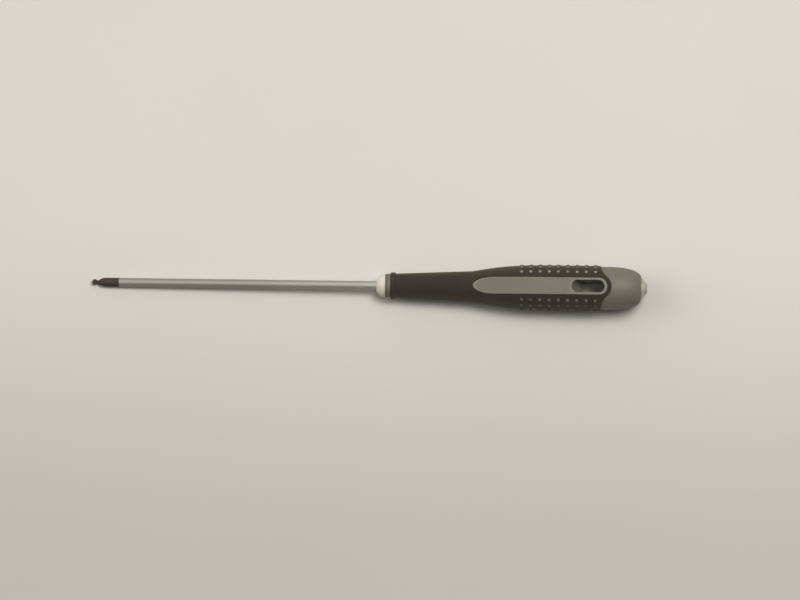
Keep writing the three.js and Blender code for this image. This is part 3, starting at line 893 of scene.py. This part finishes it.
def sleeve_quarter(tool, offset, outside):
    """One quarter of a sheet of the rubber, outside or inside, with its window edge moved by an offset.
    In front of the window's end the lines run along the axis, from the window's edge to the side; behind
    it they run on straight rays in plan from the window's round end to the rear edge."""
    handle, at = tool.handle, places_along(tool)
    edge_x, edge_y = window_side(tool, offset)
    bead = handle.rubber_start + handle.bead_length * np.array(BEAD_LINES)
    finger = inner(bead[-1], edge_x[0], FINGER_LINES)
    x = np.concatenate([bead, finger, edge_x])[:, None]
    y = np.concatenate([0 * bead, 0 * finger, edge_y])[:, None]
    radius = skin_radius(tool, x) + bead_rise(tool, x) if outside else rubber_floor(tool, x)
    rows = pip_rows(tool)
    half_pip = tool.pips.base / handle.barrel_radius
    last = rows.max() + half_pip
    upper = spread_lines(rows, half_pip, [(last + np.pi / 2) / 2, np.pi / 2])
    window_angle = np.arcsin(y / radius)
    lower = window_angle + (upper[0] - window_angle) * np.linspace(0, 1, EDGE_LINES + 1)[:-1]
    around = np.concatenate([lower, np.broadcast_to(upper, (len(x), len(upper)))], axis=1)
    stations = np.broadcast_to(x, around.shape)
    rise = pip_rise(tool, stations, around, radius) if outside else 0.0
    ahead = turned(stations, radius + rise, around)

    barrel = float(radius[-1, 0])
    start_x, start_y = window_round(tool, offset)
    side = np.linspace(at.window_arc, at.side - offset, SIDE_RAYS + 1)[:-1]
    rear_x, rear_y = rear_outline(tool, -offset, barrel)
    stop_x = np.concatenate([side, rear_x])[:, None]
    stop_y = np.concatenate([0 * side + barrel, rear_y])[:, None]
    share_of_ray = (np.sin(around[-1]) - np.sin(around[-1, 0])) / (1 - np.sin(around[-1, 0]))
    ray_x = start_x[:, None] + (stop_x - start_x[:, None]) * share_of_ray
    ray_y = start_y[:, None] + (stop_y - start_y[:, None]) * share_of_ray
    return ahead, on_handle(ray_x, ray_y, barrel)


def rim_quarter(tool):
    """The rubber's rims in one quarter, at the window and at the rear edge: a quarter round and a wall
    down to the inside."""
    handle = tool.handle
    runs, drops = quarter()
    window_rows, rear_rows = [], []
    for out, drop in zip(handle.edge * (1 - runs), handle.edge * drops):
        window_rows.append(window_edge_line(tool, out, drop, skin_radius))
        rear_rows.append(rear_edge_line(tool, -out, handle.barrel_radius - drop))
    window_rows.append(window_edge_line(tool, 0.0, 0.0, rubber_floor))
    rear_rows.append(rear_edge_line(tool, 0.0, handle.barrel_radius - handle.rubber_barrel))
    return np.stack(window_rows), np.stack(rear_rows)


def window_edge_line(tool, offset, drop, radius_at):
    """The whole window edge in one quarter at an offset, on a surface lowered by a drop."""
    side_x, side_y = window_side(tool, offset)
    round_x, round_y = window_round(tool, offset)
    x, y = np.concatenate([side_x, round_x[1:]]), np.concatenate([side_y, round_y[1:]])
    return on_handle(x, y, radius_at(tool, x) - drop)


def rear_edge_line(tool, offset, radius):
    """The rear edge in one quarter at an offset, on a surface of a radius."""
    x, y = rear_outline(tool, offset, radius)
    return on_handle(x, y, radius)


def grip_grids(tool):
    """The rubber as grids: outside, inside, rims and flat front of one quarter, mirrored to all four."""
    outside = sleeve_quarter(tool, tool.handle.edge, True)
    inside = sleeve_quarter(tool, 0.0, False)
    front = np.stack([outside[0][0], inside[0][0]])
    mirrors = ((1, 1, 1), (1, -1, 1), (1, 1, -1), (1, -1, -1))
    return [grid * mirror for grid in (*outside, *inside, *rim_quarter(tool), front) for mirror in mirrors]


def mark(mesh, name, values):
    """Stores one number per vertex under a name that a material can read."""
    attribute = mesh.attributes.new(name, "FLOAT", "POINT")
    attribute.data.foreach_set("value", np.asarray(values, np.float32))


def painted_shell_light(tool, mesh):
    """Painted light on the shell's vertices. On the lands it is a painted highlight: 1 at the slot's rim and
    at the window's outline, fading with the distance from each in plan, and less on the side away from +Y,
    which faces away from the light. In the slot it is painted light, the same all over the upright walls."""
    window, at = tool.window, places_along(tool)
    x, y, z = in_tool_space(mesh)
    half = window.slot_width / 2
    from_slot = np.hypot(x - np.clip(x, at.slot + half, at.slot_end - half), y) - half
    front = np.clip(at.window_nose - x, 0, None) * window.half_width / window.nose_length
    rear = np.clip(x - at.window_arc, 0, None)
    from_edge = window.half_width - np.hypot(front + rear, y)
    rim = 1 - np.clip(from_slot / RIM_HIGHLIGHT, 0, 1)
    outline = 1 - np.clip(from_edge / OUTLINE_HIGHLIGHT, 0, 1)
    side = np.interp(y, [-window.half_width, window.half_width], LAND_SIDES)
    depth = land_height(tool, x) - np.abs(z)
    on_land = (depth < window.rim) & (from_edge > 0)
    in_slot = (depth >= window.rim) & (np.abs(from_slot) < WALL_SLACK)
    return np.maximum(rim, outline) * side * on_land + WALL_LIGHT * in_slot


def painted_pip_highlight(tool, mesh):
    """Painted highlight on the rubber's vertices: how far up a pip they lie, less on the side away from +Y
    and less in the rows further from the windows."""
    x, y, z = in_tool_space(mesh)
    above = np.hypot(y, z) - skin_radius(tool, x)
    on_barrel = x > pip_columns(tool).min() - tool.pips.base
    side = np.interp(y, HIGHLIGHT_SIDES, PIP_SIDES)
    row = np.interp(np.abs(z), HIGHLIGHT_ROWS, PIP_ROWS)
    top = np.clip((above / tool.pips.height - HIGHLIGHT_TOP) / (1 - HIGHLIGHT_TOP), 0, 1)
    return top * on_barrel * side * row


def painted_end_shade(tool, mesh):
    """Painted shade on the core's vertices: 1 on the white end, which faces away from the light, 0 in front
    of it.
    """
    return along_axis(mesh) > tool.handle.dome_end - WELD


def joint_darkening(tool, mesh):
    """Darker tone on the vertices near the joint round the white end: 1 at the edge of the dome's hole, and
    less by the distance from that edge."""
    x, y, z = in_tool_space(mesh)
    away = np.hypot(x - tool.handle.dome_end, np.hypot(y, z) - tool.handle.end_radius)
    return 1 - np.clip(away / JOINT_DARK_REACH, 0, 1)


def link(tree, socket, value):
    """Gives a socket a plain value, or links it from another socket."""
    if isinstance(value, bpy.types.NodeSocket):
        tree.links.new(value, socket)
    else:
        socket.default_value = value


def feed(tree, made, **inputs):
    """Gives some of a node's inputs their values, by name."""
    for name, value in inputs.items():
        link(tree, made.inputs[name.replace("_", " ")], value)


def node(tree, kind, **inputs):
    """A shader node of a kind with some of its inputs fed."""
    made = tree.nodes.new("ShaderNode" + kind)
    feed(tree, made, **inputs)
    return made


def reckoned(tree, operation, *values):
    """The result of an operation of the Math node on some values."""
    made = node(tree, "Math")
    made.operation = operation
    for socket, value in zip(made.inputs, values):
        link(tree, socket, value)
    return made.outputs[0]


def noise(tree, place, scale, **settings):
    """A noise from 0 to 1."""
    return node(tree, "TexNoise", Vector=place, Scale=scale, **settings).outputs["Fac"]


def centred(tree, value):
    """A noise with its middle moved to 0."""
    return reckoned(tree, "SUBTRACT", value, 0.5)


def ranged(tree, value, low, high, smooth=False):
    """A share: 0 up to the value's low end and 1 from its high end, on a line or smoothly between them."""
    made = node(tree, "MapRange", Value=value, From_Min=low, From_Max=high)
    made.interpolation_type = "SMOOTHSTEP" if smooth else "LINEAR"
    return made.outputs["Result"]


def between(tree, part, first, last):
    """A value that goes from a first to a last one as a share goes from 0 to 1."""
    return node(tree, "MapRange", Value=part, To_Min=first, To_Max=last).outputs["Result"]


def mixed(tree, factor, first, second):
    """A colour between two others: the second where the factor is 1."""
    made = node(tree, "Mix")
    made.data_type = "RGBA"
    for index, value in zip(MIX_INPUTS, (factor, first, second)):
        link(tree, made.inputs[index], value)
    return made.outputs[MIX_RESULT]


def new_group(title, output, kind, **inputs):
    """An empty shader node group with one named output and named inputs, each with its default."""
    tree = bpy.data.node_groups.new(title, "ShaderNodeTree")
    for label, default in inputs.items():
        socket = tree.interface.new_socket(label, in_out="INPUT", socket_type=SOCKET_KINDS[type(default)])
        if default is not None:
            socket.default_value = default
    tree.interface.new_socket(output, in_out="OUTPUT", socket_type=kind)
    given = tree.nodes.new("NodeGroupInput").outputs
    result = tree.nodes.new("NodeGroupOutput").inputs[output]
    return tree, given, result


def grain_group(title):
    """Moulded grain, or grain that use has left: a fine noise with a third of a coarser one, as a height."""
    tree, given, result = new_group(title, "Height", NUMBER, Vector=None, Scale=3000.0)
    wide = reckoned(tree, "MULTIPLY", given["Scale"], COARSE_SCALE)
    fine = noise(tree, given["Vector"], given["Scale"], Detail=3.0)
    coarse = noise(tree, given["Vector"], wide, Detail=2.0)
    link(tree, result, reckoned(tree, "MULTIPLY_ADD", coarse, COARSE_SHARE, fine))
    return tree


def drift_group(title):
    """Slow change of tone over a surface: the colour, lighter or darker by an amount where a noise is
    high or low."""
    tree, given, result = new_group(
        title, "Color", COLOUR, Vector=None, Color=MID_GREY, Scale=60.0, Amount=0.1
    )
    cloud = noise(tree, given["Vector"], given["Scale"], Detail=4.0)
    gain = reckoned(tree, "MULTIPLY_ADD", centred(tree, cloud), given["Amount"], 1.0)
    tone = node(tree, "HueSaturation", Color=given["Color"], Value=gain)
    link(tree, result, tone.outputs["Color"])
    return tree


def smudge_group(title):
    """Handling marks: a roughness that rises and falls in blots and streaks."""
    tree, given, result = new_group(
        title, "Roughness", NUMBER, Vector=None, Roughness=0.5, Spread=0.2, Scale=120.0
    )
    blots = noise(tree, given["Vector"], given["Scale"], Detail=5.0, Distortion=0.6)
    rough = reckoned(tree, "MULTIPLY_ADD", centred(tree, blots), given["Spread"], given["Roughness"])
    link(tree, result, rough)
    return tree


def patch_tone_group(title):
    """A mark in patches: the colour, turned to an overlay colour where a share is high and a noise is not
    low. It carries the painted highlights, the painted light, the painted shade on the white end and the
    darker tone near the joint.
    """
    tree, given, result = new_group(
        title, "Color", COLOUR, Vector=None, Color=MID_GREY, Used=MID_GREY, Share=0.0, Scale=420.0
    )
    patches = noise(tree, given["Vector"], given["Scale"], Detail=2.0)
    amount = reckoned(tree, "MULTIPLY", given["Share"], ranged(tree, patches, *MARK_PATCHES))
    link(tree, result, mixed(tree, amount, given["Color"], given["Used"]))
    return tree


GROUPS = {
    "Surface grain": grain_group,
    "Tone drift": drift_group,
    "Handling marks": smudge_group,
    "Tone in patches": patch_tone_group,
}


def effect(tree, title, **inputs):
    """One of the shared effects, placed in a material with its own values."""
    made = node(tree, "Group")
    made.node_tree = bpy.data.node_groups.get(title) or GROUPS[title](title)
    feed(tree, made, **inputs)
    return made.outputs[0]


def new_material(name):
    """A material with its shader and its object coordinates."""
    material = bpy.data.materials.new(name)
    material.use_nodes = True
    tree = material.node_tree
    shader = tree.nodes["Principled BSDF"]
    place = node(tree, "TexCoord").outputs["Object"]
    return material, tree, shader, place


def rgba(values):
    """A colour with full alpha."""
    return (*values, 1.0)


def bumped(tree, shader, height, strength, distance):
    """Raises a shader's surface by a height."""
    bump = node(tree, "Bump", Height=height, Strength=strength, Distance=distance)
    feed(tree, shader, Normal=bump.outputs["Normal"])


def stored(tree, name):
    """The number per vertex that mark() stored under a name."""
    attribute = node(tree, "Attribute")
    attribute.attribute_name = name
    return attribute.outputs["Fac"]


def plastic_material(name, base, used, joint_dark, *, patches, roughness, specular, drift, grain, height):
    """Moulded plastic: a slow drift of tone; in patches, painted light where the first mark is set, which is
    painted highlight and painted light on the grey shell and painted shade on the white end, and a darker
    tone near the joint round the white end; handling marks in its gloss and a fine grain."""
    material, tree, shader, place = new_material(name)
    tone = effect(tree, "Tone drift", Vector=place, Color=rgba(base), Scale=70.0, Amount=drift)
    # The first mark is painted light in the colour given as used: painted highlight and painted light on the
    # grey shell, painted shade on the white end. The second gives a darker tone near the joint.
    for label, mark_tone in (("painted_light", used), ("joint_dark", joint_dark)):
        amount = stored(tree, label)
        tone = effect(
            tree, "Tone in patches", Vector=place, Color=tone, Used=rgba(mark_tone), Share=amount, Scale=patches
        )
    gloss = effect(tree, "Handling marks", Vector=place, Roughness=roughness, Spread=0.25, Scale=160.0)
    feed(tree, shader, Base_Color=tone, Roughness=gloss, Specular_IOR_Level=specular)
    relief = effect(tree, "Surface grain", Vector=place, Scale=grain)
    bumped(tree, shader, relief, strength=0.5, distance=height)
    return material


def rubber_material(finishes):
    """Black rubber: matt all round, coarser than the plastic, with a warm sheen, and a painted highlight in
    patches on the tops of the pips."""
    material, tree, shader, place = new_material("black_rubber")
    clean = effect(tree, "Tone drift", Vector=place, Color=rgba(finishes.rubber), Scale=90.0, Amount=0.5)
    # Painted highlight in patches on the tops of the pips
    painted_light, pip_highlight = stored(tree, "painted_light"), rgba(finishes.pip_highlight)
    tone = effect(tree, "Tone in patches", Vector=place, Color=clean, Used=pip_highlight, Share=painted_light)
    gloss = effect(tree, "Handling marks", Vector=place, Roughness=0.82, Spread=0.2, Scale=140.0)
    feed(tree, shader, Base_Color=tone, Diffuse_Roughness=1.0, Roughness=gloss, Specular_IOR_Level=0.5)
    feed(tree, shader, Sheen_Weight=0.11, Sheen_Tint=rgba(finishes.sheen))
    relief = effect(tree, "Surface grain", Vector=place, Scale=2600.0)
    bumped(tree, shader, relief, strength=0.6, distance=0.06 * MM)
    return material


def steel_material(finishes, black_length):
    """Satin chrome with turning marks round the bar, a colour brightened towards the handle as a painted
    highlight, and a blackened tip with an uneven edge."""
    material, tree, shader, place = new_material("satin_chrome")
    along = stored(tree, "along")
    ragged = noise(tree, place, 900.0, Detail=2.0)
    wander = reckoned(tree, "MULTIPLY_ADD", ragged, EDGE_WANDER, along)
    bare = ranged(tree, wander, black_length + EDGE_FADE[0], black_length + EDGE_FADE[1])
    # Painted highlight: the bar's colour brightens towards the handle
    near = ranged(tree, along, *HIGHLIGHT_FADE)
    clean = mixed(tree, near, rgba(finishes.steel), rgba(finishes.bright))
    tone = effect(tree, "Tone drift", Vector=place, Color=clean, Scale=110.0, Amount=0.12)
    dull = between(tree, bare, *STEEL_ROUGH)
    gloss = effect(tree, "Handling marks", Vector=place, Roughness=dull, Spread=0.12, Scale=200.0)
    feed(tree, shader, Base_Color=mixed(tree, bare, rgba(finishes.black), tone), Roughness=gloss)
    feed(tree, shader, Metallic=between(tree, bare, *STEEL_METAL))
    stretched = node(tree, "Mapping", Vector=place, Scale=TURNING).outputs["Vector"]
    relief = effect(tree, "Surface grain", Vector=stretched, Scale=4200.0)
    bumped(tree, shader, relief, strength=0.25, distance=0.02 * MM)
    return material


class SCREWDRIVER_OT_blade(bpy.types.Operator):
    """Make the steel blade: hex ball, neck, shoulder, bar and winged tang"""

    bl_idname = "screwdriver.blade"
    bl_label = "Blade"

    def execute(self, context):
        tool = context.scene.screwdriver
        mesh = mesh_of("steel_blade", [blade_grid(tool)])
        mark(mesh, "along", along_axis(mesh))
        material = steel_material(tool.finishes, tool.blade.black_length)
        add_piece("steel_blade", mesh, material, "blade", sharp=24)
        return {"FINISHED"}


class SCREWDRIVER_OT_core(bpy.types.Operator):
    """Make the white core: nose, hidden body round the tang, and rounded end"""

    bl_idname = "screwdriver.core"
    bl_label = "Core"

    def execute(self, context):
        tool = context.scene.screwdriver
        finishes = tool.finishes
        body = mesh_of("white_core", [core_grid(tool)])
        mesh = boolean(body, slot_room(tool, tool.window.liner + tool.handle.bond), "DIFFERENCE")
        # Painted shade on the white end, which faces away from the light
        mark(mesh, "painted_light", painted_end_shade(tool, mesh))
        # Darker tone near the joint round the white end
        mark(mesh, "joint_dark", joint_darkening(tool, mesh))
        material = plastic_material(
            "white_plastic",
            finishes.white,
            finishes.end_shade,
            finishes.joint_dark,
            patches=120.0,
            roughness=0.4,
            specular=0.4,
            drift=0.12,
            grain=2400.0,
            height=0.02 * MM,
        )
        add_piece("white_core", mesh, material, "handle_core")
        return {"FINISHED"}


class SCREWDRIVER_OT_shell(bpy.types.Operator):
    """Make the grey shell: flange, wall under the rubber, windows, lined slot and dome"""

    bl_idname = "screwdriver.shell"
    bl_label = "Shell"

    def execute(self, context):
        tool = context.scene.screwdriver
        finishes = tool.finishes
        turned_part = mesh_of("grey_shell", [shell_grid(tool)])
        wall = boolean(turned_part, slot_room(tool, tool.window.liner / 2), "DIFFERENCE")
        mesh = boolean(wall, mesh_of("lands", land_grid(tool)), "UNION")
        # Painted highlight on the lands' edges and the slot's rim, stronger towards +Y, and painted light on
        # the slot's walls
        mark(mesh, "painted_light", painted_shell_light(tool, mesh))
        # Darker tone near the joint round the white end
        mark(mesh, "joint_dark", joint_darkening(tool, mesh))
        material = plastic_material(
            "grey_plastic",
            finishes.grey,
            finishes.shell_light,
            finishes.joint_dark,
            patches=420.0,
            roughness=0.55,
            specular=0.38,
            drift=0.16,
            grain=3200.0,
            height=0.04 * MM,
        )
        add_piece("grey_shell", mesh, material, "handle_shell")
        return {"FINISHED"}


class SCREWDRIVER_OT_grip(bpy.types.Operator):
    """Make the black rubber grip: sleeve with windows, front bead and raised pips"""

    bl_idname = "screwdriver.grip"
    bl_label = "Grip"

    def execute(self, context):
        tool = context.scene.screwdriver
        mesh = mesh_of("rubber_sleeve", grip_grids(tool))
        # Painted highlight on the tops of the pips, stronger towards +Y
        mark(mesh, "painted_light", painted_pip_highlight(tool, mesh))
        material = rubber_material(tool.finishes)
        add_piece("rubber_sleeve", mesh, material, "rubber_grip", sharp=48)
        return {"FINISHED"}


def floor_material(stage):
    """Pale matt floor with painted shade that deepens its tone towards -Y, and a slow drift."""
    material, tree, shader, place = new_material("pale_floor")
    across = node(tree, "SeparateXYZ", Vector=place).outputs["Y"]
    # Painted shade: the floor turns deeper towards -Y
    far = ranged(tree, across, *FLOOR_FADE, smooth=True)
    blend = mixed(tree, far, rgba(stage.floor_shaded), rgba(stage.floor))
    tone = effect(tree, "Tone drift", Vector=place, Color=blend, Scale=9.0, Amount=0.05)
    feed(tree, shader, Base_Color=tone, Roughness=0.95, Specular_IOR_Level=0.1)
    return material


def studio_sky(stage):
    """Soft studio light all round: the floor's tones at the horizon, and higher up brighter behind the
    tool than in front of it."""
    world = bpy.data.worlds.new("studio")
    world.use_nodes = True
    tree = world.node_tree
    direction = node(tree, "SeparateXYZ", Vector=node(tree, "TexCoord").outputs["Generated"])
    behind = ranged(tree, direction.outputs["Y"], *SKY_FADE, smooth=True)
    upwards = ranged(tree, direction.outputs["Z"], *HORIZON_FADE, smooth=True)
    high = mixed(tree, behind, rgba(stage.sky_front), rgba(stage.sky_back))
    low = mixed(tree, behind, rgba(stage.floor_shaded), rgba(stage.floor))
    feed(tree, tree.nodes["Background"], Color=mixed(tree, upwards, low, high))
    return world


def add_lamp(name, watts, size, place):
    """A square soft lamp at a place, facing the tool."""
    lamp = bpy.data.lights.new(name, "AREA")
    lamp.energy = watts
    lamp.size = size
    holder = bpy.data.objects.new(name, lamp)
    holder.location = place
    holder.rotation_euler = (-Vector(place)).to_track_quat("-Z", "Y").to_euler()
    put_in_scene(holder)


def add_camera(stage):
    """The camera: from its aim, back along the direction of its azimuth and elevation."""
    azimuth, elevation = stage.azimuth, stage.elevation
    level = np.cos(elevation)
    back = Vector((np.sin(azimuth) * level, -np.cos(azimuth) * level, np.sin(elevation)))
    lens = bpy.data.cameras.new("camera")
    lens.lens = lens.sensor_width * stage.distance / stage.view_width
    lens.clip_start = 0.01
    camera = bpy.data.objects.new("camera", lens)
    camera.location = Vector(stage.aim) + back * stage.distance
    camera.rotation_euler = (-back).to_track_quat("-Z", "Y").to_euler()
    put_in_scene(camera)
    bpy.context.scene.camera = camera


class SCREWDRIVER_OT_stage(bpy.types.Operator):
    """Make the floor, the light and the camera"""

    bl_idname = "screwdriver.stage"
    bl_label = "Stage"

    def execute(self, context):
        stage = context.scene.screwdriver.stage
        span = np.linspace(-stage.floor_size / 2, stage.floor_size / 2, 2)
        corners = np.stack([*np.meshgrid(span, span), np.zeros((2, 2))], axis=-1).reshape(-1, 3)
        mesh = bpy.data.meshes.new("floor")
        mesh.from_pydata(corners, [], [(0, 1, 3, 2)])
        mesh.materials.append(floor_material(stage))
        floor = bpy.data.objects.new("floor", mesh)
        put_in_scene(floor)
        context.scene.world = studio_sky(stage)
        add_lamp("key", stage.key_power, stage.key_size, stage.key_place)
        add_lamp("fill", stage.fill_power, stage.fill_size, stage.fill_place)
        add_camera(stage)
        context.scene.view_settings.view_transform = "Standard"
        return {"FINISHED"}


OPERATORS = (
    SCREWDRIVER_OT_blade,
    SCREWDRIVER_OT_core,
    SCREWDRIVER_OT_shell,
    SCREWDRIVER_OT_grip,
    SCREWDRIVER_OT_stage,
)


class SCREWDRIVER_PT_pieces(bpy.types.Panel):
    """Lists the pieces and the stage"""

    bl_idname = "SCREWDRIVER_PT_pieces"
    bl_label = "Hex screwdriver"
    bl_space_type = "VIEW_3D"
    bl_region_type = "UI"
    bl_category = "Screwdriver"

    def draw(self, context):
        for operator in OPERATORS:
            self.layout.operator(operator.bl_idname)


CLASSES = (
    BladeSizes,
    HandleSizes,
    WindowSizes,
    PipSizes,
    Finishes,
    StageSettings,
    ScrewdriverSettings,
    *OPERATORS,
    SCREWDRIVER_PT_pieces,
)


def register():
    """Registers the classes and gives the scene its settings."""
    for item in CLASSES:
        bpy.utils.register_class(item)
    bpy.types.Scene.screwdriver = settings("Screwdriver", ScrewdriverSettings, "The tool and its stage")


def unregister():
    """Takes the settings and the classes away again."""
    del bpy.types.Scene.screwdriver
    for item in reversed(CLASSES):
        bpy.utils.unregister_class(item)


def main():
    """Makes every piece and the stage."""
    register()
    bpy.ops.screwdriver.blade()
    bpy.ops.screwdriver.core()
    bpy.ops.screwdriver.shell()
    bpy.ops.screwdriver.grip()
    bpy.ops.screwdriver.stage()


if __name__ == "__main__":
    main()
